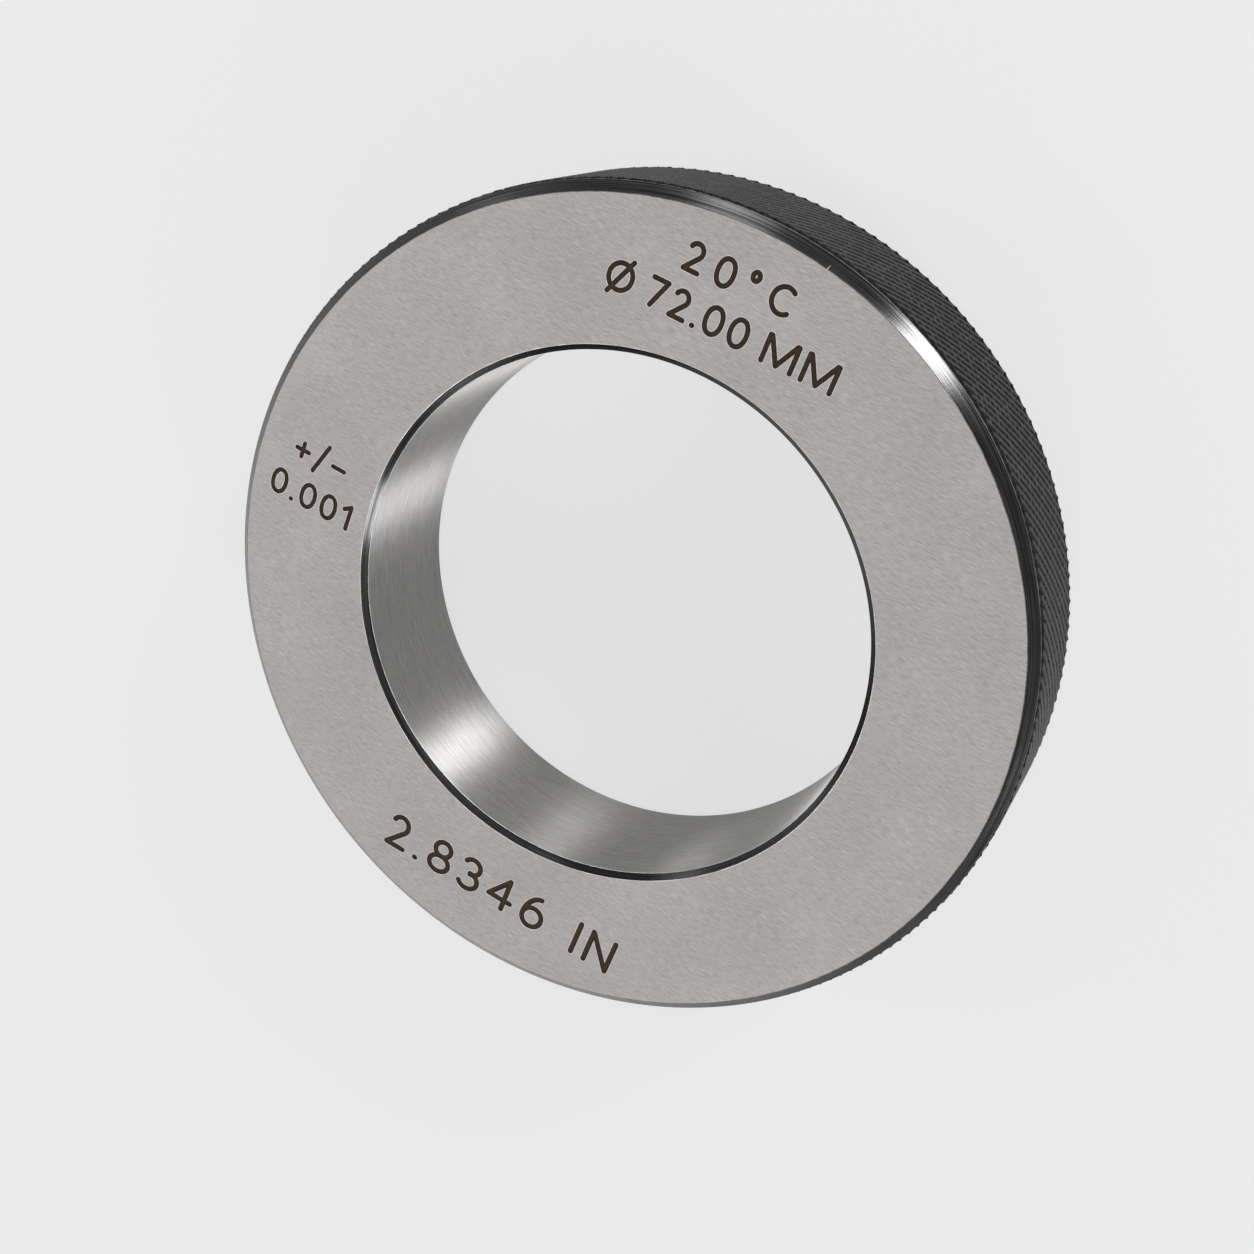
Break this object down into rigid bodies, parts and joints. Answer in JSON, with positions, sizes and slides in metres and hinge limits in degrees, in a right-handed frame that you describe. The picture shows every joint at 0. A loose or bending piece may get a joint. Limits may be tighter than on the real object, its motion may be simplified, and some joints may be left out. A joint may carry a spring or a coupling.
{
  "type": "setting ring gauge",
  "caption": "Plain setting ring gauge: a thick steel ring with a ground bore, ground faces, dark chamfers and a knurled rim for the grip.",
  "frame": {"origin": "centre of the bore on the plane of the plain back face, on which the ring lies", "axes": "+Z along the bore axis, out of the marked face; +Y to the top of the markings; +X to their right"},
  "size_m": [0.1142, 0.1142, 0.0225],
  "materials": {
    "ground_steel": "ground faces and bore, blackened chamfers and knurl"
  },
  "bodies": {
    "root": {"gauge_ring": "ground_steel"}
  },
  "joints": []
}
